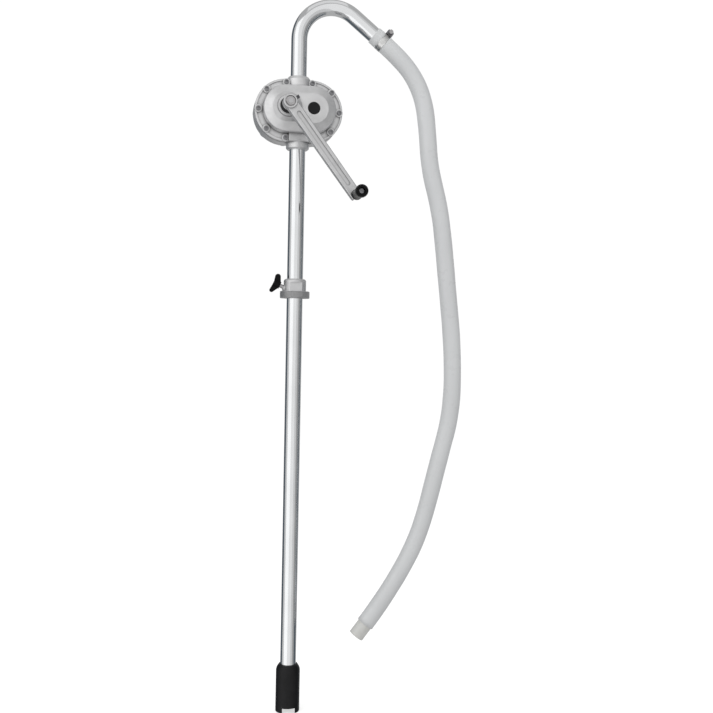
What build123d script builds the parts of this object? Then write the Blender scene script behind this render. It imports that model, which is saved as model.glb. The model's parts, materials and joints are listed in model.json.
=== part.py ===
from build123d import *
from math import acos, cos, pi, radians, sin, tan
import os

# A hand barrel pump: a twin-rotor head worked by a crank, on a suction pipe that slides in a bung adapter.
# Millimetres. The origin is on the pipe axis at the seat of the bung thread, +Z up, -Y towards the crank.

# Pipes
PIPE_RADIUS = 16.0
PIPE_BORE = 14.5
SOCKET_RADIUS = 16.04          # bores that a pipe is pushed into
BEND_RADIUS = 68.0
BEND_ANGLE = 128.3
LEG_LENGTH = 101.0             # straight run of the spout after its bend

# Head
HEAD_Z = 359.0                 # height of the two rotor shafts
SHAFT_X = 26.0                 # each shaft's distance from the pipe axis
FLANGE_RADIUS = 62.0
FLANGE_FRONT = -15.0
FLANGE_RIM = 4.0               # raised rim round the flange's sunken front
FLANGE_SINK = 2.0
RIM_GROOVE_FRONT = -10.0       # a groove runs round the flange's edge
RIM_GROOVE_BACK = -4.0
RIM_GROOVE_DEPTH = 3.5
HOUSING_BACK = 19.0
COVER_FRONT = 20.0             # the gasket fills the gap to the housing
COVER_BACK = 34.0
GEARCASE_BACK = 40.0
GEARCASE_RADIUS = 37.0
HUMP_RADIUS = 11.0             # a low hump behind the end of each shaft
BULGE_RADIUS = 46.0
BULGE_FRONT = -36.0
PLATEAU_RADIUS = 29.0
PLATEAU_FRONT = -46.0
BOSS_RADIUS = 20.0
BOSS_FRONT = -58.0
SPIGOT_RADIUS = 23.0
SPIGOT_BOTTOM = -75.5          # from the shafts' height
SPIGOT_TOP = 68.7
SPIGOT_ROOT = 44.0             # where both spigots leave the bulge, from the shafts' height
SPIGOT_FLARE = 25.0            # the top spigot is wider at its foot and ends in a cone
SPIGOT_CONE = 6.0
WEB_HALF_WIDTH = 20.0          # a flat web joins the lower spigot to the flange
WEB_FRONT = -24.0
SOCKET_DEPTH = 52.0            # where both pipe sockets end, from the shafts' height
PORT_RADIUS = 12.0
PORT_Y = -4.0
SEAL_INSET = 8.0               # from a spigot's end to its seal ring
SEAL_GROOVE = 18.5

# Chamber, rotors, shafts and gears
CHAMBER_RADIUS = 39.2
CHAMBER_FRONT = -29.0
PLATE_FRONT = 9.0
PLATE_RADIUS = 49.9
ROTOR_PITCH = 25.83
ROTOR_GAP = 0.3                # at each end face
SHAFT_RADIUS = 7.0
BUSH_BORE = 7.05
BUSH_RADIUS = 10.0
SEAL_RADIUS = 16.0
SEAL_FRONT = -57.0
SEAL_BACK = -50.0
DRIVE_BUSH_FRONT = -47.0
IDLER_BUSH_FRONT = -40.0
SHAFT_BACK = 34.0
PLUG_RADIUS = 12.4
PLUG_DEPTH = 6.0
GEAR_MODULE = 2.0
GEAR_TEETH = 26
GEAR_FRONT = 21.3
GEAR_BACK = 31.3
GEAR_CAVITY = 30.5             # radius of the room for each gear
GEAR_CAVITY_BACK = 35.5
KEY_WIDTH = 4.0
DOWEL_RADIUS = 2.0
DOWEL_FRONT = 4.0

# Cover screws
SCREW_CIRCLE = 55.0
SCREW_RADIUS = 3.0
SCREW_HEAD_RADIUS = 4.8
SCREW_HEAD_HEIGHT = 4.5
PAD_RADIUS = 7.5
PAD_HEIGHT = 1.5

# Crank
CRANK_RADIUS = 217.0
CRANK_ANGLE = 37.2             # from straight down towards +X, at rest
HUB_RADIUS = 13.6
HUB_BACK = -73.0
HUB_FRONT = -95.0
ARM_BACK = -76.0
ARM_FRONT = -92.0
ARM_WIDTH = 24.0
ARM_END_RADIUS = 11.0
ARM_END = 5.0                  # the arm is cut off square this far past the grip's axis
NUT_RECESS_RADIUS = 10.4
CRANK_THREAD = 4.8             # radius of the shaft's threaded end
HUB_END_RADIUS = 6.0           # the shaft in the hub, with two flats
HUB_FLATS = 9.6
GROOVE_WIDTH = 9.0             # the hollow along the arm's front
GROOVE_DEPTH = 2.0
SET_SCREW_RADIUS = 3.0
SET_SCREW_ANGLE = -35.0        # below the horizontal about Y, which points it up towards +X
GRIP_BACK = -95.0
GRIP_FRONT = -155.0
GRIP_RECESS = 13.0             # depth of the hollow in which the grip's bolt head sits
GRIP_HOLLOW = 6.3
GRIP_BOLT_RADIUS = 4.0
GRIP_BOLT_HEAD = 5.2

# Bung adapter and its thumb screw
THREAD_RADIUS = 29.8
THREAD_LENGTH = 14.0
COLLAR_RADIUS = 22.5
COLLAR_HEIGHT = 25.0
COLLAR_FLAT = 19.0             # distance of each spanner flat from the axis
ADAPTER_BORE = 16.4
THUMB_ANGLE = 25.0             # above the horizontal, towards -X
THUMB_HEIGHT = 4.5             # where its axis meets the pipe's wall
THUMB_RADIUS = 4.0
WING_SPAN = 40.0
WING_THICKNESS = 7.0
WING_HUB = 7.5
PAD_GAP = 0.35                 # from the clamp pad to the pipe when the screw is slack

# Foot
FOOT_TOP = -755.0
FOOT_BOTTOM = -850.0
FOOT_MOUTH_RADIUS = 18.6
FOOT_RADIUS = 24.3
FOOT_SHOULDER = 14.0           # height of the rounded shoulder at the foot's top
PIPE_END = -772.0
CHAMBER_TOP = -780.0
FOOT_BORE = 13.0
SEAT_Z = -800.0
STRAINER_TOP = -812.0
LEG_HEIGHT = 10.0
LEG_GAP = 26.0                 # between the two legs
VALVE_ROOM = 18.0              # radius of the room round the valve disc
SEAT_RADIUS = 20.0
SEAT_BORE = 10.0
SEAT_THICKNESS = 4.0
STRAINER_BORE = 15.0
SKIRT_BORE = 21.3              # inside the legs
DISC_RADIUS = 13.5
DISC_THICKNESS = 3.0
VALVE_LIFT = 6.0

# Hose, its end piece and its clamp
HOSE_RADIUS = 18.0
HOSE_BORE = 16.04
HOSE_OVERLAP = 46.5            # length of hose pushed over the spout
ROUTE_START = 20.0             # along the hose, where its free route is counted from
TIP_RADIUS = 15.75
TIP_BORE = 13.0
TIP_EXPOSED = 31.0
TIP_INSERTED = 20.0
CLAMP_CENTRE = 22.0            # along the hose
BAND_WIDTH = 12.0
BAND_THICKNESS = 0.9

os.makedirs("parts", exist_ok=True)


def save(node, shape):
    """Write one sub-part under its node's name."""
    export_step(shape, f"parts/{node}.step")


def round_y(radius, front, back, x=0.0, z=HEAD_Z):
    """A round bar along Y between its front and back faces."""
    return Pos(x, (front + back) / 2, z) * Rot(90, 0, 0) * Cylinder(radius, back - front)


def cone_y(front_radius, back_radius, front, back, x=0.0, z=HEAD_Z):
    """A cone along Y between its front and back faces."""
    return Pos(x, (front + back) / 2, z) * Rot(90, 0, 0) * Cone(back_radius, front_radius, back - front)


def round_z(radius, low, high, x=0.0, y=0.0):
    """A round bar along Z between two heights."""
    return Pos(x, y, (low + high) / 2) * Cylinder(radius, high - low)


def ring_z(outer, inner, low, high, x=0.0, y=0.0):
    """A tube along Z between two heights."""
    return round_z(outer, low, high, x, y) - round_z(inner, low - 1, high + 1, x, y)


def ring_y(outer, inner, front, back, x=0.0, z=HEAD_Z):
    """A tube along Y between its front and back faces."""
    return round_y(outer, front, back, x, z) - round_y(inner, front - 1, back + 1, x, z)


def prism_y(outline, front, back):
    """A flat outline, drawn about the middle of the head as seen from the front, made solid."""
    plane = Plane(origin=(0, back, HEAD_Z), x_dir=(1, 0, 0), z_dir=(0, -1, 0))
    return extrude(plane * outline, back - front)


def stadium(radius):
    """The head's outline: two half circles about the shafts, joined by straight sides."""
    return SlotCenterToCenter(2 * SHAFT_X, 2 * radius)


def stadium_cone(front_radius, back_radius, front, back):
    """The head's outline, tapering from one radius to another."""
    faces = []
    for radius, y in ((back_radius, back), (front_radius, front)):
        plane = Plane(origin=(0, y, HEAD_Z), x_dir=(1, 0, 0), z_dir=(0, -1, 0))
        faces.append((plane * stadium(radius)).faces()[0])
    return loft(faces, ruled=True)


def edges_at(shape, y, least=0.0, most=1e9):
    """The edges of a shape that lie in the plane at y and whose length is between two limits."""
    return [e for e in shape.edges()
            if abs(e.bounding_box().min.Y - y) < 1e-3 and abs(e.bounding_box().max.Y - y) < 1e-3
            and least < e.length < most]


def screw_places():
    """Where the ten cover screws stand: five round each end of the head."""
    places = []
    for side in (-1, 1):
        for angle in (-90, -45, 0, 45, 90):
            x = side * (SHAFT_X + SCREW_CIRCLE * cos(radians(angle)))
            places.append((x, HEAD_Z + SCREW_CIRCLE * sin(radians(angle))))
    return places


# ---------------------------------------------------------------- pump housing

def make_housing():
    body = prism_y(stadium(FLANGE_RADIUS), FLANGE_FRONT, HOUSING_BACK)
    body = fillet(edges_at(body, FLANGE_FRONT), 1.5)
    groove = stadium(FLANGE_RADIUS + 2) - stadium(FLANGE_RADIUS - RIM_GROOVE_DEPTH)
    body -= prism_y(groove, RIM_GROOVE_FRONT, RIM_GROOVE_BACK)
    sunk = stadium(FLANGE_RADIUS - FLANGE_RIM) - stadium(BULGE_RADIUS - 2)
    body -= prism_y(sunk, FLANGE_FRONT - 1, FLANGE_FRONT + FLANGE_SINK)
    for x, z in screw_places():
        body += round_y(PAD_RADIUS, FLANGE_FRONT - PAD_HEIGHT, FLANGE_FRONT + FLANGE_SINK + 1, x, z)
    return body + make_bulge() + make_spigots() - housing_cavities()


def make_spigots():
    """The two pipe sockets' walls and the flat web in front of the lower one."""
    low_end, high_end = HEAD_Z + SPIGOT_BOTTOM, HEAD_Z + SPIGOT_TOP
    flare_top = high_end - SPIGOT_CONE
    lower = round_z(SPIGOT_RADIUS, low_end, HEAD_Z - SPIGOT_ROOT)
    lower = chamfer(lower.edges().filter_by(GeomType.CIRCLE).sort_by(Axis.Z)[:1], 2.5)
    upper = round_z(SPIGOT_FLARE, HEAD_Z + SPIGOT_ROOT, flare_top)
    upper += Pos(0, 0, flare_top + SPIGOT_CONE / 2) * Cone(SPIGOT_FLARE, SPIGOT_FLARE - 4.5, SPIGOT_CONE)
    spigots = lower + upper
    # Behind the housing's back face the spigots stop clear of the gear cover.
    spigots -= Pos(0, HOUSING_BACK + 10, HEAD_Z) * Box(60, 20, 2 * FLANGE_RADIUS + 1.2)
    web_height = FLANGE_RADIUS - SPIGOT_ROOT
    web = Pos(0, WEB_FRONT / 2, HEAD_Z - SPIGOT_ROOT - web_height / 2) * \
        Box(2 * WEB_HALF_WIDTH, -WEB_FRONT, web_height)
    return spigots + chamfer(edges_at(web, WEB_FRONT), 1.0)


def make_bulge():
    """The front of the housing: a bulge over the chamber, a plateau and the boss of the drive shaft."""
    bulge = prism_y(stadium(BULGE_RADIUS), BULGE_FRONT, FLANGE_FRONT + 1)
    bulge += stadium_cone(PLATEAU_RADIUS, BULGE_RADIUS, PLATEAU_FRONT, BULGE_FRONT)
    bulge = fillet(edges_at(bulge, BULGE_FRONT) + edges_at(bulge, PLATEAU_FRONT), 3.0)
    bulge += cone_y(BOSS_RADIUS + 2, 33.0, BOSS_FRONT + 5, PLATEAU_FRONT + 4, -SHAFT_X)
    boss = round_y(BOSS_RADIUS, BOSS_FRONT, PLATEAU_FRONT, -SHAFT_X)
    return bulge + fillet(edges_at(boss, BOSS_FRONT), 1.2)


def housing_cavities():
    """Everything bored or cast out of the housing."""
    hollow = prism_y(stadium(PLATE_RADIUS + 0.1), PLATE_FRONT, HOUSING_BACK + 1)
    for x in (-SHAFT_X, SHAFT_X):
        hollow += round_y(CHAMBER_RADIUS, CHAMBER_FRONT, PLATE_FRONT + 1, x)
    hollow += round_y(BUSH_RADIUS, DRIVE_BUSH_FRONT, CHAMBER_FRONT + 1, -SHAFT_X)
    hollow += round_y(BUSH_RADIUS - 1.5, SEAL_BACK - 1, DRIVE_BUSH_FRONT + 1, -SHAFT_X)
    hollow += round_y(SEAL_RADIUS, BOSS_FRONT - 1, SEAL_BACK, -SHAFT_X)
    hollow += round_y(BUSH_RADIUS, PLATEAU_FRONT + PLUG_DEPTH - 1, CHAMBER_FRONT + 1, SHAFT_X)
    hollow += round_y(PLUG_RADIUS, PLATEAU_FRONT - 1, PLATEAU_FRONT + PLUG_DEPTH, SHAFT_X)
    for side, end in ((-1, SPIGOT_BOTTOM), (1, SPIGOT_TOP)):
        low, high = sorted((HEAD_Z + side * SOCKET_DEPTH, HEAD_Z + end + side))
        hollow += round_z(SOCKET_RADIUS, low, high)
        low, high = sorted((HEAD_Z + side * 25, HEAD_Z + side * (SOCKET_DEPTH + 1)))
        hollow += round_z(PORT_RADIUS, low, high, 0, PORT_Y)
        seal_z = HEAD_Z + end - side * SEAL_INSET
        hollow += round_z(SEAL_GROOVE, seal_z - 1.5, seal_z + 1.5)
    for x, z in screw_places():
        hollow += round_y(SCREW_RADIUS, FLANGE_FRONT - PAD_HEIGHT - 1, HOUSING_BACK + 1, x, z)
    for x, z in dowel_places():
        hollow += round_y(DOWEL_RADIUS, DOWEL_FRONT, HOUSING_BACK, x, z)
    return hollow


def dowel_places():
    """Two dowels fix the bearing plate's place in the housing."""
    return [(-SHAFT_X - 31.0, HEAD_Z + 31.0), (SHAFT_X + 31.0, HEAD_Z - 31.0)]


def make_bearing_plate():
    plate = prism_y(stadium(PLATE_RADIUS), PLATE_FRONT, HOUSING_BACK)
    for x in (-SHAFT_X, SHAFT_X):
        plate -= round_y(BUSH_RADIUS, PLATE_FRONT - 1, HOUSING_BACK + 1, x)
    for x, z in dowel_places():
        plate -= round_y(DOWEL_RADIUS, PLATE_FRONT - 1, HOUSING_BACK + 1, x, z)
    return plate


def make_gasket():
    gasket = prism_y(stadium(FLANGE_RADIUS - 0.6), HOUSING_BACK, COVER_FRONT)
    gasket -= prism_y(stadium(GEAR_CAVITY + 6), HOUSING_BACK - 1, COVER_FRONT + 1)
    for x, z in screw_places():
        gasket -= round_y(SCREW_RADIUS, HOUSING_BACK - 1, COVER_FRONT + 1, x, z)
    return gasket


def make_gear_cover():
    cover = prism_y(stadium(FLANGE_RADIUS), COVER_FRONT, COVER_BACK)
    cover = fillet(edges_at(cover, COVER_BACK), 3.0)
    case = prism_y(stadium(GEARCASE_RADIUS), COVER_BACK - 1, GEARCASE_BACK)
    cover += fillet(edges_at(case, GEARCASE_BACK), 3.0)
    for x in (-SHAFT_X, SHAFT_X):
        cover += round_y(HUMP_RADIUS, GEARCASE_BACK - 1, GEARCASE_BACK + 3, x)
    for x, z in screw_places():
        cover += round_y(PAD_RADIUS, COVER_BACK - 3.5, COVER_BACK + 1.5, x, z)
    cover &= prism_y(stadium(FLANGE_RADIUS), COVER_FRONT, GEARCASE_BACK + 5)
    for x in (-SHAFT_X, SHAFT_X):
        cover -= round_y(GEAR_CAVITY, COVER_FRONT - 1, GEAR_CAVITY_BACK, x)
    for x, z in screw_places():
        cover -= round_y(SCREW_RADIUS, COVER_FRONT - 1, COVER_BACK - 2, x, z)
    return cover


def make_cover_screws():
    """Socket-head screws: their heads stand on the pads of the flange."""
    screws = []
    seat = FLANGE_FRONT - PAD_HEIGHT
    for x, z in screw_places():
        head = round_y(SCREW_HEAD_RADIUS, seat - SCREW_HEAD_HEIGHT, seat, x, z)
        head = chamfer(edges_at(head, seat - SCREW_HEAD_HEIGHT), 0.5)
        socket = Plane(origin=(x, seat - SCREW_HEAD_HEIGHT + 2.8, z), x_dir=(1, 0, 0), z_dir=(0, -1, 0))
        head -= extrude(socket * RegularPolygon(2.5, 6, major_radius=False), 4)
        screws.append(head + round_y(SCREW_RADIUS, seat - 0.5, COVER_BACK - 3, x, z))
    return Compound(children=screws)


# ---------------------------------------------------------------- rotors, shafts and gears

def rotor_section(start, outward):
    """A quarter of a two-lobed cycloidal rotor: its rolling circle is a quarter of the pitch circle."""
    rolling = ROTOR_PITCH / 4
    points = []
    for step in range(13):
        turn = start + radians(90 * step / 12)
        if outward:
            arm, spin = ROTOR_PITCH + rolling, (ROTOR_PITCH + rolling) / rolling
            points.append((arm * cos(turn) - rolling * cos(spin * turn),
                           arm * sin(turn) - rolling * sin(spin * turn)))
        else:
            arm, spin = ROTOR_PITCH - rolling, (ROTOR_PITCH - rolling) / rolling
            points.append((arm * cos(turn) + rolling * cos(spin * turn),
                           arm * sin(turn) - rolling * sin(spin * turn)))
    return Spline(*points)


def make_rotor(x, tip_angle):
    """A rotor about the shaft at x, its tips at tip_angle from the X axis."""
    quarters = [rotor_section(radians(90 * k), outward=(k % 2 == 0)) for k in range(4)]
    outline = Rot(0, 0, tip_angle - 45) * make_face(quarters)
    outline -= Circle(SHAFT_RADIUS)
    outline -= Pos(0, SHAFT_RADIUS) * Rectangle(KEY_WIDTH, 4)
    plane = Plane(origin=(x, PLATE_FRONT - ROTOR_GAP, HEAD_Z), x_dir=(1, 0, 0), z_dir=(0, -1, 0))
    return extrude(plane * outline, PLATE_FRONT - CHAMBER_FRONT - 2 * ROTOR_GAP)


def gear_outline(first_tooth):
    """An involute spur gear with a little backlash, its first tooth at an angle in degrees."""
    pitch = GEAR_MODULE * GEAR_TEETH / 2
    base = pitch * cos(radians(20))
    tip = pitch + 0.9 * GEAR_MODULE
    root = pitch - 1.3 * GEAR_MODULE
    backlash = 0.16 / pitch

    def half_angle(radius):
        at_pitch = tan(radians(20)) - radians(20)
        pressure = acos(min(1.0, base / radius))
        return pi / (2 * GEAR_TEETH) - backlash + at_pitch - (tan(pressure) - pressure)

    flank = [base + (tip - base) * k / 4 for k in range(5)]
    corners = []
    for tooth in range(GEAR_TEETH):
        middle = radians(first_tooth) + 2 * pi * tooth / GEAR_TEETH
        rising = [(root, -half_angle(base))] + [(r, -half_angle(r)) for r in flank]
        falling = [(r, -angle) for r, angle in reversed(rising)]
        for radius, angle in rising + falling:
            corners.append((radius * cos(middle + angle), radius * sin(middle + angle)))
    return make_face(Polyline(*corners, close=True))


def make_gear(x, first_tooth):
    outline = gear_outline(first_tooth) - Circle(SHAFT_RADIUS)
    outline -= Pos(0, SHAFT_RADIUS) * Rectangle(KEY_WIDTH, 4)
    plane = Plane(origin=(x, GEAR_BACK, HEAD_Z), x_dir=(1, 0, 0), z_dir=(0, -1, 0))
    gear = extrude(plane * outline, GEAR_BACK - GEAR_FRONT)
    for k in range(5):
        angle = radians(72 * k + 36)
        gear -= round_y(3.0, GEAR_FRONT - 1, GEAR_BACK + 1, x + 15.5 * cos(angle), HEAD_Z + 15.5 * sin(angle))
    return gear


def key_box(x, front, back):
    """A parallel key, half in the shaft and half in what it drives."""
    return Pos(x, (front + back) / 2, HEAD_Z + SHAFT_RADIUS) * Box(KEY_WIDTH, back - front, 4)


def make_keys(x):
    return Compound(children=[key_box(x, -20, 0), key_box(x, GEAR_FRONT + 1, GEAR_BACK - 1)])


def cut_keyways(shaft, x):
    shaft -= key_box(x, -20, 0)
    shaft -= key_box(x, GEAR_FRONT + 1, GEAR_BACK - 1)
    return shaft - ring_y(SHAFT_RADIUS + 1, SHAFT_RADIUS - 0.6, GEAR_BACK + 0.1, GEAR_BACK + 1.2, x)


def make_retaining_ring(x):
    ring = ring_y(SHAFT_RADIUS + 2.4, SHAFT_RADIUS - 0.6, GEAR_BACK + 0.1, GEAR_BACK + 1.2, x)
    return ring - Pos(x, GEAR_BACK, HEAD_Z - 9) * Box(7, 6, 12)


def flatted_y(radius, across, front, back):
    """A round bar on the drive shaft's axis with two flats."""
    flats = Pos(-SHAFT_X, (front + back) / 2, HEAD_Z) * Box(across, back - front, 2 * radius + 2)
    return round_y(radius, front, back, -SHAFT_X) & flats


def make_drive_shaft():
    """It ends in two flats that the crank's hub fits, and a thread for the hub's nut."""
    shaft = round_y(SHAFT_RADIUS, HUB_BACK - 0.2, SHAFT_BACK, -SHAFT_X)
    shaft += flatted_y(HUB_END_RADIUS, HUB_FLATS, ARM_FRONT + 2, HUB_BACK)
    shaft += round_y(CRANK_THREAD, HUB_FRONT - 2, ARM_FRONT + 3, -SHAFT_X)
    return cut_keyways(shaft, -SHAFT_X)


def make_idler_shaft():
    return cut_keyways(round_y(SHAFT_RADIUS, IDLER_BUSH_FRONT + 1, SHAFT_BACK, SHAFT_X), SHAFT_X)


# ---------------------------------------------------------------- crank

def crank_point(distance, side, y):
    """A point of the crank: along the arm from its shaft, across it, and in depth."""
    turn = radians(CRANK_ANGLE)
    x = -SHAFT_X + distance * sin(turn) + side * cos(turn)
    z = HEAD_Z - distance * cos(turn) + side * sin(turn)
    return (x, y, z)


def crank_plane(y):
    """A plane across the crank at y: its X runs along the arm from the drive shaft."""
    along = (sin(radians(CRANK_ANGLE)), 0, -cos(radians(CRANK_ANGLE)))
    return Plane(origin=crank_point(0, 0, y), x_dir=along, z_dir=(0, -1, 0))


def make_crank_arm():
    outline = make_hull((Circle(ARM_WIDTH / 2) + Pos(CRANK_RADIUS, 0) * Circle(ARM_END_RADIUS)).edges())
    outline -= Pos(CRANK_RADIUS + ARM_END + 10, 0) * Rectangle(20, 4 * ARM_END_RADIUS)
    arm = extrude(crank_plane(ARM_BACK) * outline, ARM_BACK - ARM_FRONT)
    arm = fillet(edges_at(arm, ARM_FRONT) + edges_at(arm, ARM_BACK), 2.0)
    groove = Pos(CRANK_RADIUS / 2, 0) * SlotOverall(CRANK_RADIUS - 46, GROOVE_WIDTH)
    arm -= extrude(crank_plane(ARM_FRONT) * groove, GROOVE_DEPTH, both=True)
    hub = round_y(HUB_RADIUS, HUB_FRONT, HUB_BACK, -SHAFT_X)
    arm += fillet(edges_at(hub, HUB_FRONT), 1.2)
    end_x, _, end_z = crank_point(CRANK_RADIUS, 0, 0)
    arm += round_y(GRIP_BOLT_RADIUS + 3, ARM_FRONT - 1.5, ARM_BACK, end_x, end_z) & \
        extrude(crank_plane(ARM_BACK) * (Pos(CRANK_RADIUS, 0) * Rectangle(2 * ARM_END, 4 * ARM_END)), 20)
    arm -= round_y(NUT_RECESS_RADIUS, HUB_FRONT - 1, ARM_FRONT + 1.5, -SHAFT_X)
    arm -= flatted_y(HUB_END_RADIUS + 0.01, HUB_FLATS + 0.02, ARM_FRONT, HUB_BACK + 1)
    arm -= round_y(SHAFT_RADIUS + 0.1, HUB_BACK - 0.3, HUB_BACK + 1, -SHAFT_X)
    arm -= round_y(GRIP_BOLT_RADIUS - 1, ARM_FRONT - 3, ARM_BACK + 1, end_x, end_z)
    return arm - set_screw_place() * Pos(0, 0, 13) * Cylinder(SET_SCREW_RADIUS, 10)


def set_screw_place():
    """The middle of the hub, with Z along the set screw."""
    return Pos(-SHAFT_X, (HUB_FRONT + HUB_BACK) / 2, HEAD_Z) * Rot(0, SET_SCREW_ANGLE, 0) * Rot(0, 90, 0)


def make_hub_set_screw():
    """A square-headed screw that locks the hub on its shaft."""
    screw = Pos(0, 0, 12) * Cylinder(SET_SCREW_RADIUS, 8)
    head = Pos(0, 0, 18.5) * Box(2 * SET_SCREW_RADIUS, 2 * SET_SCREW_RADIUS, 5)
    return set_screw_place() * (screw + head)


def make_crank_washer():
    return ring_y(9.6, CRANK_THREAD + 0.2, ARM_FRONT + 0.3, ARM_FRONT + 1.5, -SHAFT_X)


def make_crank_nut():
    plane = Plane(origin=(-SHAFT_X, ARM_FRONT + 0.3, HEAD_Z), x_dir=(1, 0, 0), z_dir=(0, -1, 0))
    nut = extrude(plane * (Rot(0, 0, 8) * RegularPolygon(8.0, 6, major_radius=False)), 4.6)
    nut &= cone_y(8.4, 12.0, ARM_FRONT - 4.3, ARM_FRONT + 0.3, -SHAFT_X)
    return nut - round_y(CRANK_THREAD, ARM_FRONT - 9, ARM_FRONT + 9, -SHAFT_X)


def make_grip():
    """The turning grip: a waisted bar of revolution with a deep hollow for its bolt's head."""
    x, _, z = crank_point(CRANK_RADIUS, 0, 0)
    bore = GRIP_BOLT_RADIUS + 0.08
    hollow_end = GRIP_FRONT + GRIP_RECESS
    foot = [(bore, GRIP_BACK), (10.4, GRIP_BACK), (10.8, GRIP_BACK - 3)]
    body = [foot[-1], (9.8, GRIP_BACK - 20), (11.9, GRIP_FRONT + 16), (12.5, GRIP_FRONT + 7), (11.0, GRIP_FRONT)]
    mouth = [body[-1], (GRIP_HOLLOW, GRIP_FRONT), (GRIP_HOLLOW, hollow_end), (bore, hollow_end), foot[0]]
    side = Polyline(*[(radius, -y) for radius, y in foot])
    side += Spline(*[(radius, -y) for radius, y in body])
    side += Polyline(*[(radius, -y) for radius, y in mouth])
    face = Plane(origin=(x, 0, z), x_dir=(1, 0, 0), z_dir=(0, 0, -1)) * make_face(side)
    return revolve(face, Axis((x, 0, z), (0, 1, 0)))


def make_grip_bolt():
    """A shoulder bolt: its thread is in the arm and its shoulder carries the grip."""
    x, _, z = crank_point(CRANK_RADIUS, 0, 0)
    head_back = GRIP_FRONT + GRIP_RECESS - 0.3
    head_front = head_back - 4.0
    bolt = round_y(GRIP_BOLT_RADIUS, head_back - 1, ARM_FRONT - 1.5, x, z)
    head = round_y(GRIP_BOLT_HEAD, head_front, head_back, x, z)
    head = chamfer(edges_at(head, head_front), 0.6)
    slot = Pos(x, head_front, z) * Rot(0, 30, 0) * Box(3 * GRIP_BOLT_HEAD, 2.4, 1.6)
    bolt += head - slot
    return bolt + round_y(GRIP_BOLT_RADIUS - 1, ARM_FRONT - 2, ARM_BACK - 0.5, x, z)


# ---------------------------------------------------------------- bung adapter

THUMB_DIRECTION = Vector(-cos(radians(THUMB_ANGLE)), 0, sin(radians(THUMB_ANGLE)))
THUMB_PLANE = Plane(origin=(-PIPE_RADIUS, 0, THUMB_HEIGHT), x_dir=(0, 1, 0), z_dir=THUMB_DIRECTION)


def thumb_bar(radius, start, end):
    """A round bar along the thumb screw, between two distances from the pipe's wall."""
    return extrude(THUMB_PLANE.offset(start) * Circle(radius), end - start)


def make_adapter():
    body = round_z(THREAD_RADIUS, -THREAD_LENGTH, 0)
    body = chamfer(body.edges().filter_by(GeomType.CIRCLE), 1.0)
    collar = round_z(COLLAR_RADIUS, -2, COLLAR_HEIGHT)
    collar = fillet(collar.edges().filter_by(GeomType.CIRCLE).sort_by(Axis.Z)[-1:], 5.5)
    for side in (-1, 1):
        collar -= Pos(0, side * (COLLAR_FLAT + 10), 7) * Box(60, 20, 22)
    body += collar
    body += thumb_bar(7.0, 0, 8.0) - round_z(ADAPTER_BORE, -30, 60)
    body -= round_z(ADAPTER_BORE, -THREAD_LENGTH - 1, COLLAR_HEIGHT + 1)
    body -= round_z(19.05, -9, -4)
    return body - thumb_bar(THUMB_RADIUS + 0.08, -2, 20)


def make_clamp_pad():
    """The pad's end is cut upright, so that it lies flat against the pipe."""
    beyond = Pos(50 - PIPE_RADIUS - PAD_GAP, 0, THUMB_HEIGHT) * Box(100, 40, 40)
    return thumb_bar(THUMB_RADIUS - 0.2, -3, 4.0) - beyond


def make_thumb_shank():
    return thumb_bar(THUMB_RADIUS, 4.3, 24.0)


def make_thumb_wing():
    """A moulded knob with two ears, each narrower towards its tip."""
    hub = thumb_bar(WING_HUB, 16.0, 30.0)
    along_axis = hub.edges().filter_by(GeomType.CIRCLE).sort_by(lambda e: e.center().dot(THUMB_DIRECTION))
    hub = fillet(along_axis[-1:], 2.0)
    blade = Plane(origin=(-PIPE_RADIUS, WING_THICKNESS / 2, THUMB_HEIGHT),
                  x_dir=(THUMB_DIRECTION.Z, 0, -THUMB_DIRECTION.X), z_dir=(0, -1, 0))
    half = WING_SPAN / 2
    wings = Sketch()
    for side, tip_radius in ((-1, 4.2), (1, 5.6)):
        ear = Pos(side * (half - tip_radius), 27.0) * Circle(tip_radius) + Pos(side * 3, 23) * Circle(7)
        wings += make_hull(ear.edges())
    wings = extrude(blade * wings, WING_THICKNESS)
    wings = fillet(edges_at(wings, -WING_THICKNESS / 2) + edges_at(wings, WING_THICKNESS / 2), 2.0)
    return hub + wings - thumb_bar(THUMB_RADIUS, 10, 24)


# ---------------------------------------------------------------- foot valve

def make_foot_body():
    """The sleeve on the pipe's end, its rounded shoulder and the chamber over the valve."""
    profile = Polyline((FOOT_RADIUS, FOOT_TOP - FOOT_SHOULDER), (FOOT_RADIUS, STRAINER_TOP), (0, STRAINER_TOP),
                       (0, FOOT_TOP), (FOOT_MOUTH_RADIUS, FOOT_TOP))
    shoulder = Spline((FOOT_MOUTH_RADIUS, FOOT_TOP), (FOOT_RADIUS, FOOT_TOP - FOOT_SHOULDER),
                      tangents=[(0.6, -0.8), (0, -1)])
    body = revolve(Plane.XZ * make_face(profile + shoulder), Axis.Z)
    body -= round_z(SOCKET_RADIUS, PIPE_END, FOOT_TOP + 1)
    body -= round_z(FOOT_BORE, CHAMBER_TOP - 5, PIPE_END + 1)
    body -= round_z(VALVE_ROOM, SEAT_Z, CHAMBER_TOP)
    body -= round_z(SEAT_RADIUS, STRAINER_TOP - 1, SEAT_Z)
    # Three ribs stop the disc at the end of its lift.
    rib_height = CHAMBER_TOP - (SEAT_Z + DISC_THICKNESS + VALVE_LIFT + 0.6)
    for k in range(3):
        rib = Pos(DISC_RADIUS, 0, CHAMBER_TOP - rib_height / 2) * Box(9.5, 2.5, rib_height)
        body += Rot(0, 0, 120 * k + 30) * rib
    return body


def make_valve_seat():
    low = SEAT_Z - SEAT_THICKNESS
    seat = ring_z(SEAT_RADIUS - 0.02, SEAT_BORE, low, SEAT_Z)
    return chamfer(seat.edges().filter_by(GeomType.CIRCLE).sort_by(SortBy.RADIUS)[:1], 0.5)


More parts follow.
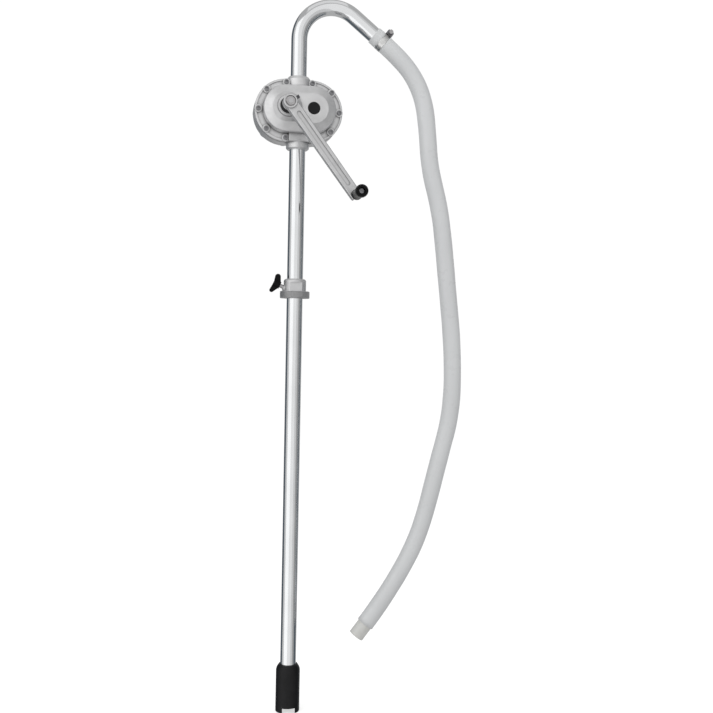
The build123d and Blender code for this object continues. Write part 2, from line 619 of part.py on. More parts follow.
def make_valve_disc():
    """A flat disc with a central knob and four guide fins that hang in the seat."""
    low = SEAT_Z + 0.3
    disc = round_z(DISC_RADIUS, low, low + DISC_THICKNESS)
    disc += round_z(4.0, low, low + DISC_THICKNESS + 2)
    for turn in (0, 90):
        disc += Rot(0, 0, turn) * Pos(0, 0, SEAT_Z - 4) * Box(2 * SEAT_BORE - 1.6, 2.0, 9.0)
    return disc


def make_strainer():
    """The skirt under the valve seat: it stands on two legs with a wide gap in front and behind."""
    body = round_z(FOOT_RADIUS, FOOT_BOTTOM, STRAINER_TOP)
    body += round_z(SEAT_RADIUS - 0.02, STRAINER_TOP - 1, SEAT_Z - SEAT_THICKNESS)
    body -= round_z(STRAINER_BORE, FOOT_BOTTOM - 1, SEAT_Z)
    body -= round_z(SKIRT_BORE, FOOT_BOTTOM - 1, STRAINER_TOP - 6)
    return body - Pos(0, 0, FOOT_BOTTOM + LEG_HEIGHT / 2 - 1) * Box(LEG_GAP, 80, LEG_HEIGHT + 2)


# ---------------------------------------------------------------- pipes and their seals

def make_suction_pipe():
    return ring_z(PIPE_RADIUS, PIPE_BORE, PIPE_END, HEAD_Z - SOCKET_DEPTH)


LEG_DIRECTION = Vector(sin(radians(BEND_ANGLE)), 0, cos(radians(BEND_ANGLE)))
SPOUT_BEND_Z = 505.0           # where the spout's bend starts
LEG_START = Vector(BEND_RADIUS * (1 - cos(radians(BEND_ANGLE))), 0,
                   SPOUT_BEND_Z + BEND_RADIUS * sin(radians(BEND_ANGLE)))
PIPE_MOUTH = LEG_START + LEG_DIRECTION * LEG_LENGTH
HOSE_START = PIPE_MOUTH - LEG_DIRECTION * HOSE_OVERLAP


def make_spout_pipe():
    low = Vector(0, 0, HEAD_Z + SOCKET_DEPTH)
    rise = Line(low, Vector(0, 0, SPOUT_BEND_Z))
    half_turn = radians(BEND_ANGLE) / 2
    middle = Vector(BEND_RADIUS * (1 - cos(half_turn)), 0, SPOUT_BEND_Z + BEND_RADIUS * sin(half_turn))
    path = rise + ThreePointArc(rise @ 1, middle, LEG_START) + Line(LEG_START, PIPE_MOUTH)
    ring = Circle(PIPE_RADIUS) - Circle(PIPE_BORE)
    return sweep(Plane(origin=low, z_dir=(0, 0, 1)) * ring, path=path)


def make_pipe_seal(z):
    return ring_z(SEAL_GROOVE, PIPE_RADIUS, z - 1.5, z + 1.5)


# ---------------------------------------------------------------- hose and clamp

def hose_point(distance):
    """A point on the straight first stretch of the hose, which sits on the spout."""
    return HOSE_START + LEG_DIRECTION * distance


# The free route of the hose: it leaves the spout, hangs in a long S and ends near the foot.
HOSE_ROUTE = [
    hose_point(ROUTE_START),
    hose_point(72),
    Vector(242.5, 0, 439),
    Vector(261.5, 0, 392),
    Vector(269, 0, 334),
    Vector(275, 0, 262),
    Vector(298, 0, 180),
    Vector(308, 0, 110),
    Vector(318, 0, 20),
    Vector(333, 0, -112),
    Vector(334, 0, -240),
    Vector(307, 0, -345),
    Vector(277, 0, -471),
    Vector(247, 0, -545),
    Vector(191, 0, -637),
    Vector(158, 0, -680),
]


def corner_radii(route):
    """The radius of each corner: 0.45 of its shorter run over the tangent of half its turn."""
    radii = []
    for before, corner, after in zip(route, route[1:], route[2:]):
        turn = radians((corner - before).get_angle(after - corner))
        radii.append(0.45 * min((corner - before).length, (after - corner).length) / tan(turn / 2))
    return radii


def make_hose():
    radii = corner_radii(HOSE_ROUTE)
    path = FilletPolyline(*HOSE_ROUTE, radius=radii)
    section = Circle(HOSE_RADIUS) - Circle(HOSE_BORE)
    tube = sweep(Plane(origin=HOSE_ROUTE[0], z_dir=LEG_DIRECTION) * section, path=path)
    cuff = extrude(Plane(origin=HOSE_START, z_dir=LEG_DIRECTION) * section, ROUTE_START)
    area = pi * (HOSE_RADIUS ** 2 - HOSE_BORE ** 2)
    print("hose corner radii", [round(radius) for radius in radii])
    print("hose route length", round(path.length, 1), "whole hose", round(path.length + ROUTE_START, 1))
    print("hose volume over section times length", round(tube.volume / (area * path.length), 4))
    return tube + cuff


def make_hose_tip():
    last = HOSE_ROUTE[-1] - HOSE_ROUTE[-2]
    end = Plane(origin=HOSE_ROUTE[-1], z_dir=last)
    tip = extrude(end * Circle(TIP_RADIUS), TIP_EXPOSED)
    tip = fillet(tip.edges().filter_by(GeomType.CIRCLE).sort_by(lambda e: e.center().dot(last))[-1:], 2.0)
    tip += extrude(end.offset(-TIP_INSERTED) * Circle(HOSE_BORE), TIP_INSERTED)
    return tip - extrude(end.offset(-TIP_INSERTED - 1) * Circle(TIP_BORE), TIP_EXPOSED + TIP_INSERTED + 2)


CLAMP_PLANE = Plane(origin=hose_point(CLAMP_CENTRE), x_dir=(0, 1, 0), z_dir=LEG_DIRECTION)
CLAMP_OUT = CLAMP_PLANE.y_dir  # from the hose's axis to the worm housing
WORM_OUT = HOSE_RADIUS + BAND_THICKNESS + 5.6


def clamp_block(size_y, size_out, size_along, out, y=0.0):
    """A block on the clamp: its middle is at a distance out from the hose's axis."""
    return CLAMP_PLANE * Pos(y, out, 0) * Box(size_y, size_out, size_along)


def make_clamp_band():
    outer = HOSE_RADIUS + BAND_THICKNESS
    return CLAMP_PLANE * (Cylinder(outer, BAND_WIDTH) - Cylinder(HOSE_RADIUS, BAND_WIDTH + 2))


def make_clamp_housing():
    base = HOSE_RADIUS + BAND_THICKNESS
    block = clamp_block(15, 11.0, 14, base + 4.7)
    block -= CLAMP_PLANE * Cylinder(base, 30)
    block = fillet(block.edges().filter_by(Axis.Y).sort_by(lambda e: e.center().dot(CLAMP_OUT))[-2:], 4.0)
    return block - clamp_worm(4.1, 40)


def clamp_worm(radius, length, y=0.0):
    """A round bar along the clamp's screw."""
    centre = hose_point(CLAMP_CENTRE) + CLAMP_OUT * WORM_OUT
    return Pos(centre.X, y, centre.Z) * Rot(90, 0, 0) * Cylinder(radius, length)


def make_clamp_screw():
    screw = clamp_worm(4.03, 16.0)
    hexagon = CLAMP_PLANE * Pos(-11.3, WORM_OUT, 0) * Rot(0, 90, 0) * \
        extrude(RegularPolygon(4.0, 6, major_radius=False), 3.5, both=True)
    slot = clamp_block(2.4, 12, 1.3, WORM_OUT, -14.8)
    return screw + (hexagon - slot)


# ---------------------------------------------------------------- write every sub-part

save("pump_housing", make_housing())
save("bearing_plate", make_bearing_plate())
save("housing_gasket", make_gasket())
save("gear_cover", make_gear_cover())
save("cover_screws", make_cover_screws())
save("plate_dowels", Compound(children=[
    round_y(DOWEL_RADIUS, DOWEL_FRONT, HOUSING_BACK - 0.5, x, z) for x, z in dowel_places()]))
save("front_bushes", Compound(children=[
    ring_y(BUSH_RADIUS, BUSH_BORE, DRIVE_BUSH_FRONT, CHAMBER_FRONT, -SHAFT_X),
    ring_y(BUSH_RADIUS, BUSH_BORE, IDLER_BUSH_FRONT, CHAMBER_FRONT, SHAFT_X)]))
save("plate_bushes", Compound(children=[
    ring_y(BUSH_RADIUS, BUSH_BORE, PLATE_FRONT, HOUSING_BACK, x) for x in (-SHAFT_X, SHAFT_X)]))
save("shaft_seal", ring_y(SEAL_RADIUS, BUSH_BORE, SEAL_FRONT, SEAL_BACK, -SHAFT_X))
save("idler_bore_plug", round_y(PLUG_RADIUS, PLATEAU_FRONT, PLATEAU_FRONT + PLUG_DEPTH, SHAFT_X))

save("drive_shaft", make_drive_shaft())
save("idler_shaft", make_idler_shaft())
save("drive_rotor", make_rotor(-SHAFT_X, 90))
save("idler_rotor", make_rotor(SHAFT_X, 0))
save("drive_gear", make_gear(-SHAFT_X, 0))
save("idler_gear", make_gear(SHAFT_X, 180 / GEAR_TEETH))
for name, shaft_x in (("drive", -SHAFT_X), ("idler", SHAFT_X)):
    save(f"{name}_keys", make_keys(shaft_x))
    save(f"{name}_retaining_ring", make_retaining_ring(shaft_x))

save("crank_arm", make_crank_arm())
save("hub_set_screw", make_hub_set_screw())
save("crank_washer", make_crank_washer())
save("crank_nut", make_crank_nut())
save("crank_grip", make_grip())
save("grip_bolt", make_grip_bolt())

save("bung_adapter", make_adapter())
save("pipe_seal_ring", ring_z(19.0, PIPE_RADIUS + 0.05, -8.9, -4.1))
save("clamp_pad", make_clamp_pad())
save("thumb_screw_shank", make_thumb_shank())
save("thumb_screw_wing", make_thumb_wing())

save("suction_pipe", make_suction_pipe())
save("suction_pipe_seal", make_pipe_seal(HEAD_Z + SPIGOT_BOTTOM + SEAL_INSET))
save("spout_pipe", make_spout_pipe())
save("spout_pipe_seal", make_pipe_seal(HEAD_Z + SPIGOT_TOP - SEAL_INSET))

save("foot_valve_body", make_foot_body())
save("valve_seat", make_valve_seat())
save("valve_disc", make_valve_disc())
save("foot_strainer", make_strainer())

save("delivery_hose", make_hose())
save("hose_tip", make_hose_tip())
save("hose_clamp_band", make_clamp_band())
save("hose_clamp_housing", make_clamp_housing())
save("hose_clamp_screw", make_clamp_screw())
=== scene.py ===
import bpy
import bmesh
import json
from math import cos, radians, sin, tan, tau
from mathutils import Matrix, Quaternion, Vector


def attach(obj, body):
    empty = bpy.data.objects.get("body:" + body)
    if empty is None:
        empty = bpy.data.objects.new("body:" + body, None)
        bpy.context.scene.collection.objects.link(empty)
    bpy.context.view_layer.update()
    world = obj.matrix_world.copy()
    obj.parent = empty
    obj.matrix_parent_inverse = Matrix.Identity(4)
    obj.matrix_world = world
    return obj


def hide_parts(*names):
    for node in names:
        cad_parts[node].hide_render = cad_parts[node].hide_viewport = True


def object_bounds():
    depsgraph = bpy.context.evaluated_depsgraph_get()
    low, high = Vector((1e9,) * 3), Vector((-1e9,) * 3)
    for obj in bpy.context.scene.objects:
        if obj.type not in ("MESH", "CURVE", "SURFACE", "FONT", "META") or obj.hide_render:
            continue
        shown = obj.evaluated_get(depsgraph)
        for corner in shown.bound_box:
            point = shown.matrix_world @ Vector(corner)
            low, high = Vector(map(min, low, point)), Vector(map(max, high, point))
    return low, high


# Looks of the hand barrel pump, in metres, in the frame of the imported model.

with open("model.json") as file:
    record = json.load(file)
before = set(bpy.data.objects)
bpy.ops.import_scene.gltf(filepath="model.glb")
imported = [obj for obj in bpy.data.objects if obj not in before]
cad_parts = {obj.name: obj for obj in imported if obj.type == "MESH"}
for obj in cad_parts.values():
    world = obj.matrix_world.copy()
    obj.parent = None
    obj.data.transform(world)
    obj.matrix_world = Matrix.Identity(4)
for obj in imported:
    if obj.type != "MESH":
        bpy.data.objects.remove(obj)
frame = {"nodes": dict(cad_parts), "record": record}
cad_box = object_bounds()
nodes = frame["nodes"]

CAMERA_TARGET = Vector((0.1247, -0.0241, -0.1287))
CAMERA_DISTANCE = 1.955
CAMERA_AZIMUTH = radians(-10.8)
CAMERA_ELEVATION = radians(1.27)
CAMERA_ROLL = radians(1.12)
CAMERA_LENS = 48.9

FLOOR_Z = cad_box[0].z - 0.0015
WORLD_LIGHT = 0.45             # on the object
BACKDROP_LIGHT = 1.02          # what the camera sees
# Square lights that face the head: azimuth and elevation in degrees, distance, size and power.
LIGHTS = (
    ("key", -50, 30, 2.6, 1.6, 17),
    ("fill", 42, 12, 2.8, 1.4, 7),
    ("top", 0, 80, 2.4, 1.8, 3),
)
LIGHTS_TARGET = Vector((0, 0, 0.1))
CARD_DISTANCE = 1.6
CARD_HEIGHT = 4.0
NEUTRAL = (1.0, 1.0, 1.0)
BLUISH = (0.72, 0.86, 1.0)
# What the polished metal reflects, as azimuths in degrees round the object, with each card's tint and glow.
CARDS = (
    ("dark_left", -165, -106, BLUISH, 0.13),
    ("grey_left", -106, -76, NEUTRAL, 0.60),
    ("bright_left", -76, -24, NEUTRAL, 1.10),
    ("front", -24, 22, NEUTRAL, 0.84),
    ("front_right", 22, 50, NEUTRAL, 0.62),
    ("grey_right", 50, 78, NEUTRAL, 0.34),
    ("dark_right", 78, 120, BLUISH, 0.12),
)

HOSE_RADIUS = 0.018
HOSE_BORE = 0.01604
HOSE_START = Vector((0.15292, 0, 0.52459))
HOSE_ROUTE = (
    (0.16861, 0.51219), (0.20942, 0.47996), (0.2425, 0.439), (0.2615, 0.392), (0.269, 0.334),
    (0.275, 0.262), (0.298, 0.180), (0.308, 0.110), (0.318, 0.020), (0.333, -0.112), (0.334, -0.240),
    (0.307, -0.345), (0.277, -0.471), (0.247, -0.545), (0.191, -0.637), (0.158, -0.680),
)
FREE_START = Vector((HOSE_ROUTE[0][0], 0, HOSE_ROUTE[0][1]))
SPOUT_DIRECTION = (FREE_START - HOSE_START).normalized()
ACROSS = Vector((0, 1, 0))     # the hose's route lies in the plane that this stands on
HOSE_SIDES = 48
CUFF_RINGS = 10                # on the straight stretch over the spout
CLAMP_CENTRE = 0.022           # along the hose from its start
BAND_WIDTH = 0.012
BAND_THICKNESS = 0.0009
BAND_SLOTS = 36
SLOT_MARGIN = 0.00025
SLOT_DEPTH = 0.00055
THREAD_PITCH = 0.0023


# ---------------------------------------------------------------- camera, lights and floor

def direction(azimuth, elevation=0.0):
    """The direction from the object to something at an azimuth (0 in front, 90 degrees at +X)."""
    return Vector((sin(azimuth) * cos(elevation), -cos(azimuth) * cos(elevation), sin(elevation)))


def make_camera():
    data = bpy.data.cameras.new("camera")
    data.lens = CAMERA_LENS
    data.clip_end = 50.0
    camera = bpy.data.objects.new("camera", data)
    bpy.context.collection.objects.link(camera)
    back = direction(CAMERA_AZIMUTH, CAMERA_ELEVATION)
    camera.location = CAMERA_TARGET + back * CAMERA_DISTANCE
    camera.rotation_mode = "QUATERNION"
    camera.rotation_quaternion = (-back).to_track_quat("-Z", "Y") @ Quaternion((0, 0, 1), CAMERA_ROLL)
    bpy.context.scene.camera = camera


def make_light(name, azimuth, elevation, distance, size, power):
    """A square soft light that faces the head."""
    data = bpy.data.lights.new(name, "AREA")
    data.shape = "SQUARE"
    data.size = size
    data.energy = power
    light = bpy.data.objects.new(name, data)
    bpy.context.collection.objects.link(light)
    back = direction(radians(azimuth), radians(elevation))
    light.location = LIGHTS_TARGET + back * distance
    light.rotation_mode = "QUATERNION"
    light.rotation_quaternion = (-back).to_track_quat("-Z", "Y")


def plain_material(name, colour, glow_colour, glow):
    material = bpy.data.materials.new(name)
    material.use_nodes = True
    shader = material.node_tree.nodes["Principled BSDF"]
    shader.inputs["Base Color"].default_value = (*colour, 1)
    shader.inputs["Roughness"].default_value = 0.9
    shader.inputs["Specular IOR Level"].default_value = 0.0
    shader.inputs["Emission Color"].default_value = (*glow_colour, 1)
    shader.inputs["Emission Strength"].default_value = glow
    return material


def make_card(name, start, end, tint, glow):
    """A tall upright card between two azimuths: it shows only in reflections."""
    mesh = bpy.data.meshes.new(name)
    half = CARD_DISTANCE * tan(radians(end - start) / 2)
    low, high = -CARD_HEIGHT / 2, CARD_HEIGHT / 2
    corners = [(-half, 0, low), (half, 0, low), (half, 0, high), (-half, 0, high)]
    mesh.from_pydata(corners, [], [(0, 1, 2, 3)])
    card = bpy.data.objects.new(name, mesh)
    bpy.context.collection.objects.link(card)
    turn = radians((start + end) / 2)
    card.location = direction(turn) * CARD_DISTANCE
    card.rotation_euler = (0, 0, turn)
    mesh.materials.append(plain_material(name, (0, 0, 0), tint, glow))
    card.visible_camera = False
    card.visible_diffuse = False
    card.visible_shadow = False
    card.visible_transmission = False


def make_floor():
    mesh = bpy.data.meshes.new("floor")
    corners = [(x, y, FLOOR_Z) for x, y in ((-8, -8), (8, -8), (8, 8), (-8, 8))]
    mesh.from_pydata(corners, [], [(0, 1, 2, 3)])
    floor = bpy.data.objects.new("floor", mesh)
    bpy.context.collection.objects.link(floor)
    mesh.materials.append(plain_material("floor", (0.90, 0.90, 0.90), (1, 1, 1), 0.62))
    floor.visible_glossy = False
    floor.visible_diffuse = False


def make_world():
    world = bpy.data.worlds.new("studio")
    bpy.context.scene.world = world
    world.use_nodes = True
    tree = world.node_tree
    backdrop = tree.nodes["Background"]
    backdrop.inputs["Color"].default_value = (1, 1, 1, 1)
    # The backdrop looks white, but lights the object less than that.
    ray = tree.nodes.new("ShaderNodeLightPath")
    strength = tree.nodes.new("ShaderNodeMapRange")
    strength.inputs["To Min"].default_value = WORLD_LIGHT
    strength.inputs["To Max"].default_value = BACKDROP_LIGHT
    tree.links.new(ray.outputs["Is Camera Ray"], strength.inputs["Value"])
    tree.links.new(strength.outputs["Result"], backdrop.inputs["Strength"])


# ---------------------------------------------------------------- materials

class Finish:
    """A procedural material: one Principled shader and the textures that feed it."""

    def __init__(self, name, colour, roughness, metallic=0.0):
        self.material = bpy.data.materials.new(name)
        self.material.use_nodes = True
        self.tree = self.material.node_tree
        self.shader = self.tree.nodes["Principled BSDF"]
        self.set("Base Color", (*colour, 1))
        self.set("Roughness", roughness)
        self.set("Metallic", metallic)
        self.colour = colour
        self.place = self.tree.nodes.new("ShaderNodeTexCoord").outputs["Object"]
        self.height = None

    def set(self, socket, value):
        self.shader.inputs[socket].default_value = value

    def stretched(self, x, y, z):
        """The object's coordinates, stretched so that a texture runs along an axis."""
        mapping = self.tree.nodes.new("ShaderNodeMapping")
        mapping.inputs["Scale"].default_value = (x, y, z)
        self.tree.links.new(self.place, mapping.inputs["Vector"])
        return mapping.outputs["Vector"]

    def noise(self, scale, detail=3.0, rough=0.55, place=None):
        node = self.tree.nodes.new("ShaderNodeTexNoise")
        node.inputs["Scale"].default_value = scale
        node.inputs["Detail"].default_value = detail
        node.inputs["Roughness"].default_value = rough
        self.tree.links.new(place or self.place, node.inputs["Vector"])
        return node.outputs["Fac"]

    def spread(self, source, low, high, start=0.3, end=0.7):
        """Maps a 0 to 1 texture onto a range of values."""
        node = self.tree.nodes.new("ShaderNodeMapRange")
        node.inputs["From Min"].default_value = start
        node.inputs["From Max"].default_value = end
        node.inputs["To Min"].default_value = low
        node.inputs["To Max"].default_value = high
        self.tree.links.new(source, node.inputs["Value"])
        return node.outputs["Result"]

    def coordinate(self, axis):
        """The object's own X, Y or Z, in metres."""
        node = self.tree.nodes.new("ShaderNodeSeparateXYZ")
        self.tree.links.new(self.place, node.inputs["Vector"])
        return node.outputs[axis]

    def multiply(self, first, second):
        node = self.tree.nodes.new("ShaderNodeMath")
        node.operation = "MULTIPLY"
        self.tree.links.new(first, node.inputs[0])
        self.tree.links.new(second, node.inputs[1])
        return node.outputs["Value"]

    def shade(self, source, dark, light, start=0.3, end=0.7):
        """Colours the surface between two shades of its own colour."""
        node = self.tree.nodes.new("ShaderNodeMix")
        node.data_type = "RGBA"
        node.inputs["A"].default_value = (*[c * dark for c in self.colour], 1)
        node.inputs["B"].default_value = (*[min(1.0, c * light) for c in self.colour], 1)
        self.tree.links.new(self.spread(source, 0, 1, start, end), node.inputs["Factor"])
        self.tree.links.new(node.outputs["Result"], self.shader.inputs["Base Color"])

    def paint_shade_in_hollows(self, reach):
        """Paints shade into the colour at the feet of walls and bosses, within a reach in metres."""
        node = self.tree.nodes.new("ShaderNodeAmbientOcclusion")
        node.samples = 8
        node.only_local = True
        node.inputs["Distance"].default_value = reach
        base = self.shader.inputs["Base Color"]
        self.tree.links.new(base.links[0].from_socket, node.inputs["Color"])
        self.tree.links.new(node.outputs["Color"], base)

    def roughen(self, source, low, high):
        self.tree.links.new(self.spread(source, low, high), self.shader.inputs["Roughness"])

    def bump(self, source, depth, strength=1.0):
        """Adds relief of a depth in metres on top of what is there."""
        node = self.tree.nodes.new("ShaderNodeBump")
        node.inputs["Distance"].default_value = depth
        node.inputs["Strength"].default_value = strength
        self.tree.links.new(source, node.inputs["Height"])
        if self.height:
            self.tree.links.new(self.height, node.inputs["Normal"])
        self.height = node.outputs["Normal"]
        self.tree.links.new(self.height, self.shader.inputs["Normal"])


def cast_aluminium():
    finish = Finish("cast_aluminium", (0.71, 0.71, 0.715), 0.38, 0.66)
    grain = finish.noise(900, 4, 0.6)
    finish.shade(finish.noise(38, 3), 0.90, 1.08)
    # Painted shade: darker colour at the feet of walls and bosses.
    finish.paint_shade_in_hollows(0.006)
    finish.roughen(finish.noise(160, 4), 0.33, 0.46)
    finish.bump(finish.noise(170, 2), 0.00012, 0.5)
    finish.bump(grain, 0.00005, 0.7)
    return finish.material


def threaded_casting():
    """The adapter's casting: its thread, below the seat, is darker, with painted shade deepest in the thread's
    roots, and has the thread's relief.
    """
    finish = Finish("threaded_casting", (0.66, 0.66, 0.665), 0.38, 0.62)
    finish.roughen(finish.noise(160, 4), 0.34, 0.48)
    height = finish.coordinate("Z")
    below_seat = finish.spread(height, 1, 0, -0.0012, -0.0006)
    turns = finish.tree.nodes.new("ShaderNodeMath")
    turns.operation = "PINGPONG"
    turns.inputs[1].default_value = THREAD_PITCH / 2
    finish.tree.links.new(height, turns.inputs[0])
    crests = finish.spread(turns.outputs["Value"], 0, 1, 0, THREAD_PITCH / 2)
    relief = finish.multiply(crests, below_seat)
    # Painted shade: the thread is darker than the seat above it, darkest in its roots.
    finish.shade(finish.multiply(finish.spread(crests, 1, 0.45, 0, 1), below_seat), 1.0, 0.66, 0, 1)
    finish.bump(relief, 0.0009)
    finish.bump(finish.noise(170, 2), 0.00012, 0.5)
    finish.bump(finish.noise(900, 4, 0.6), 0.00005, 0.7)
    return finish.material


def crank_casting():
    finish = Finish("crank_casting", (0.62, 0.62, 0.625), 0.34, 0.9)
    finish.shade(finish.noise(60, 3), 0.92, 1.06)
    # Painted shade: darker colour in the grooves and at the feet of walls.
    finish.paint_shade_in_hollows(0.005)
    finish.roughen(finish.noise(220, 4), 0.26, 0.40)
    finish.bump(finish.noise(260, 3), 0.00008, 0.6)
    return finish.material


def polished_pipe():
    finish = Finish("polished_pipe", (0.86, 0.87, 0.88), 0.10, 1.0)
    streaks = finish.noise(40, 4, 0.6, finish.stretched(8, 8, 1.0))
    finish.shade(finish.noise(12, 2), 0.96, 1.02)
    finish.roughen(streaks, 0.06, 0.16)
    finish.bump(finish.noise(300, 2, 0.5, finish.stretched(1, 1, 0.05)), 0.00001, 0.4)
    return finish.material


def plated_steel(name, colour, roughness):
    finish = Finish(name, colour, roughness, 1.0)
    finish.shade(finish.noise(120, 3), 0.86, 1.08)
    finish.roughen(finish.noise(400, 3), roughness - 0.06, roughness + 0.10)
    finish.bump(finish.noise(700, 2), 0.00003, 0.5)
    return finish.material


def turned_metal(name, colour, roughness):
    """Metal with fine rings from the lathe, round the Y axis of a shaft."""
    finish = Finish(name, colour, roughness, 1.0)
    rings = finish.noise(1.0, 3, 0.6, finish.stretched(20, 1800, 20))
    finish.shade(finish.noise(90, 3), 0.88, 1.06)
    finish.roughen(rings, roughness - 0.05, roughness + 0.10)
    finish.bump(rings, 0.00002, 0.6)
    return finish.material


def moulded_plastic(name, colour, roughness, grain=0.00004, specular=0.5):
    finish = Finish(name, colour, roughness)
    finish.set("Specular IOR Level", specular)
    finish.shade(finish.noise(70, 3), 0.75, 1.30)
    finish.roughen(finish.noise(260, 4), roughness - 0.08, roughness + 0.10)
    finish.bump(finish.noise(1100, 3), grain, 0.6)
    return finish.material


def soft_rubber():
    finish = Finish("black_rubber", (0.012, 0.012, 0.013), 0.62)
    finish.shade(finish.noise(110, 3), 0.7, 1.5)
    finish.bump(finish.noise(900, 4), 0.00004, 0.6)
    return finish.material


def hose_pvc():
    finish = Finish("hose_pvc", (0.89, 0.905, 0.915), 0.30)
    finish.set("IOR", 1.5)
    finish.shade(finish.noise(14, 3, 0.5, finish.stretched(1, 1, 0.35)), 0.96, 1.03)
    finish.roughen(finish.noise(45, 4), 0.24, 0.38)
    finish.bump(finish.noise(60, 2, 0.5, finish.stretched(1, 1, 0.25)), 0.00006, 0.35)
    return finish.material


def tip_plastic():
    finish = Finish("tip_plastic", (0.88, 0.88, 0.85), 0.38)
    finish.set("Subsurface Weight", 0.3)
    finish.set("Subsurface Radius", (1.0, 1.0, 0.95))
    finish.set("Subsurface Scale", 0.001)
    finish.shade(finish.noise(80, 3), 0.95, 1.04)
    finish.bump(finish.noise(900, 2), 0.00002, 0.4)
    return finish.material


def gasket_fibre():
    finish = Finish("gasket_fibre", (0.05, 0.052, 0.055), 0.85)
    finish.shade(finish.noise(500, 4), 0.7, 1.4)
    finish.bump(finish.noise(1200, 3), 0.00004, 0.7)
    return finish.material


def make_finishes():
    """One material for each material slot of the record."""
    return {
        "cast_aluminium": cast_aluminium(),
        "crank_casting": crank_casting(),
        "polished_pipe": polished_pipe(),
        "zinc_steel": plated_steel("zinc_steel", (0.46, 0.45, 0.455), 0.30),
        "dark_screws": plated_steel("dark_screws", (0.10, 0.10, 0.105), 0.42),
        "bronze": turned_metal("bronze", (0.62, 0.42, 0.20), 0.34),
        "hard_steel": turned_metal("hard_steel", (0.52, 0.52, 0.53), 0.28),
        "rotor_plastic": moulded_plastic("rotor_plastic", (0.72, 0.71, 0.67), 0.42),
        "black_plastic": moulded_plastic("black_plastic", (0.009, 0.009, 0.010), 0.36, specular=0.22),
        "black_rubber": soft_rubber(),
        "gasket_fibre": gasket_fibre(),
        "hose_pvc": hose_pvc(),
        "tip_plastic": tip_plastic(),
        "clamp_steel": plated_steel("clamp_steel", (0.74, 0.74, 0.735), 0.24),
    }


def dress_nodes(finishes):
    """Gives each CAD node the material of its slot, and a few nodes a look of their own."""
    for part in frame["record"]["subparts"]:
        mesh = nodes[part["node"]].data
        mesh.materials.clear()
        mesh.materials.append(finishes[part["material_slot"]])
    gloss = moulded_plastic("gloss_black", (0.003, 0.003, 0.0035), 0.24, specular=0.12)
    # A darker copy of the screw steel: painted shade for the cover screws' heads and the grip's bolt at the foot
    # of its recess.
    shade_darkened = plated_steel("shade_darkened_screws", (0.27, 0.27, 0.28), 0.36)
    own_looks = {"bung_adapter": threaded_casting(), "thumb_screw_wing": gloss, "crank_grip": gloss,
                 "cover_screws": shade_darkened, "grip_bolt": shade_darkened,
                 "hose_clamp_housing": plated_steel("pressed_housing", (0.20, 0.20, 0.21), 0.24)}
    for node, material in own_looks.items():
        mesh = nodes[node].data
        mesh.materials.clear()
        mesh.materials.append(material)


# ---------------------------------------------------------------- hose

def route_points():
    """The hose's centreline: points read from the smooth spline along its route."""
    curve = bpy.data.curves.new("hose_route", "CURVE")
    curve.dimensions = "3D"
    spline = curve.splines.new("NURBS")
    spline.points.add(len(HOSE_ROUTE) - 1)
    for point, (x, z) in zip(spline.points, HOSE_ROUTE):
        point.co = (x, 0, z, 1)
    spline.order_u = 3
    spline.use_endpoint_u = True
    curve.resolution_u = 10
    holder = bpy.data.objects.new("hose_route", curve)
    mesh = bpy.data.meshes.new_from_object(holder)
    points = [vertex.co.copy() for vertex in mesh.vertices]
    bpy.data.objects.remove(holder)
    bpy.data.curves.remove(curve)
    bpy.data.meshes.remove(mesh)
    return points


def new_piece(name, builder, body, material, smooth=True):
    """A mesh object made from a bmesh, which rides on a body."""
    mesh = bpy.data.meshes.new(name)
    builder.normal_update()
    builder.to_mesh(mesh)
    builder.free()
    piece = bpy.data.objects.new(name, mesh)
    bpy.context.collection.objects.link(piece)
    mesh.materials.append(material)
    for face in mesh.polygons:
        face.use_smooth = smooth
    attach(piece, body)
    return piece


def bridge_rings(builder, rings, closed=False):
    """Joins successive rings of vertices with quads."""
    pairs = list(zip(rings, rings[1:])) + ([(rings[-1], rings[0])] if closed else [])
    for first, second in pairs:
        count = len(first)
        for k in range(count):
            builder.faces.new((first[k], first[(k + 1) % count], second[(k + 1) % count], second[k]))


def hose_squeeze(distance):
    """How far the clamp and the spout's end change the hose's outer radius, in metres."""
    from_clamp = abs(distance - CLAMP_CENTRE)
    under_band = 0.0004 * max(0.0, 1 - max(0.0, from_clamp - BAND_WIDTH / 2) / 0.002)
    beside_band = 0.00035 * max(0.0, 1 - abs(from_clamp - BAND_WIDTH / 2 - 0.004) / 0.004)
    return beside_band - under_band


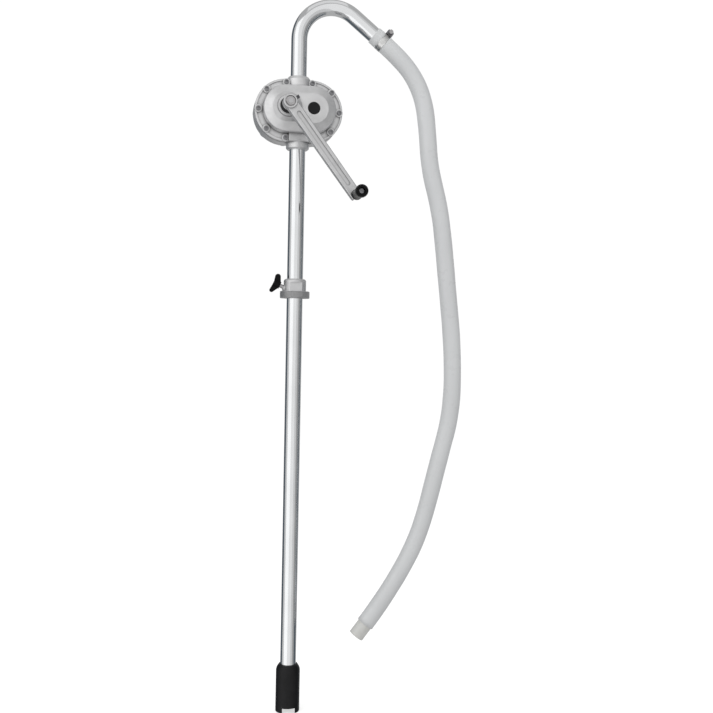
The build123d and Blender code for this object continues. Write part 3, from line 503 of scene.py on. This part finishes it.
def make_hose(material):
    """A hollow tube with rounded ends: the straight cuff on the spout, then the hanging stretch."""
    cuff = [HOSE_START + (FREE_START - HOSE_START) * k / CUFF_RINGS for k in range(CUFF_RINGS)]
    centres = cuff + route_points()
    distances = [0.0]
    for before, after in zip(centres, centres[1:]):
        distances.append(distances[-1] + (after - before).length)
    angles = [tau * k / HOSE_SIDES for k in range(HOSE_SIDES)]
    builder = bmesh.new()
    outer, inner = [], []
    for index, centre in enumerate(centres):
        before = centres[max(index - 1, 0)]
        after = centres[min(index + 1, len(centres) - 1)]
        up = (after - before).normalized().cross(ACROSS)
        wobble = 0.00012 * sin(distances[index] * 41) + 0.00008 * sin(distances[index] * 97 + 1)
        radius = HOSE_RADIUS + wobble + hose_squeeze(distances[index])
        for ring, size in ((outer, radius), (inner, HOSE_BORE)):
            ring.append([builder.verts.new(centre + (ACROSS * cos(a) + up * sin(a)) * size) for a in angles])
    lip = (HOSE_RADIUS + HOSE_BORE) / 2
    rims = []
    for index, inward in ((0, 1), (-1, -1)):
        centre = centres[index]
        along = (centres[1] - centres[0] if index == 0 else centres[-1] - centres[-2]).normalized() * inward
        up = (along * inward).cross(ACROSS)
        rims.append([builder.verts.new(centre - along * 0.0004 + (ACROSS * cos(a) + up * sin(a)) * lip)
                     for a in angles])
    bridge_rings(builder, [rims[0]] + outer + [rims[1]] + inner[::-1], closed=True)
    bmesh.ops.recalc_face_normals(builder, faces=builder.faces)
    hose = new_piece("hose", builder, "pump", material)
    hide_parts("delivery_hose")
    return hose


# ---------------------------------------------------------------- clamp band

def make_clamp_band(material):
    """A worm-drive band: rolled edges and a row of slots for the worm, pressed into its middle."""
    along = SPOUT_DIRECTION
    centre = HOSE_START + along * CLAMP_CENTRE
    up = along.cross(ACROSS)
    outer = HOSE_RADIUS + BAND_THICKNESS
    half = BAND_WIDTH / 2
    edge, slot_half = half - 0.0006, 0.0030
    # Each pair is a place across the band and how deep the surface lies there, outside a slot.
    profile = ((-half, 0.0003), (-edge, 0.0), (-edge + 0.0008, 0.0002), (-slot_half, 0.0002),
               (slot_half, 0.0002), (edge - 0.0008, 0.0002), (edge, 0.0), (half, 0.0003))
    builder = bmesh.new()
    steps = BAND_SLOTS * 2
    rings = []
    for k in range(steps):
        angle = tau * k / steps
        outward = ACROSS * cos(angle) + up * sin(angle)
        ring = [builder.verts.new(centre + along * x + outward * (outer - depth)) for x, depth in profile]
        ring += [builder.verts.new(centre + along * x + outward * (HOSE_RADIUS + 0.00005)) for x in (half, -half)]
        rings.append(ring)
    bridge_rings(builder, rings, closed=True)
    builder.faces.ensure_lookup_table()
    slot_column = 3
    slots = [builder.faces[k * len(rings[0]) + slot_column] for k in range(0, steps, 2)]
    bmesh.ops.recalc_face_normals(builder, faces=builder.faces)
    bmesh.ops.inset_individual(builder, faces=slots, thickness=SLOT_MARGIN, depth=0.0)
    bmesh.ops.inset_individual(builder, faces=slots, thickness=0.0001, depth=-SLOT_DEPTH)
    band = new_piece("clamp_band", builder, "pump", material, smooth=False)
    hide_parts("hose_clamp_band")
    return band


# ---------------------------------------------------------------- the scene

make_camera()
finishes = make_finishes()
dress_nodes(finishes)
make_hose(finishes["hose_pvc"])
make_clamp_band(finishes["clamp_steel"])

make_world()
make_floor()
for light in LIGHTS:
    make_light(*light)
for card in CARDS:
    make_card(*card)
bpy.context.scene.view_settings.view_transform = "Standard"
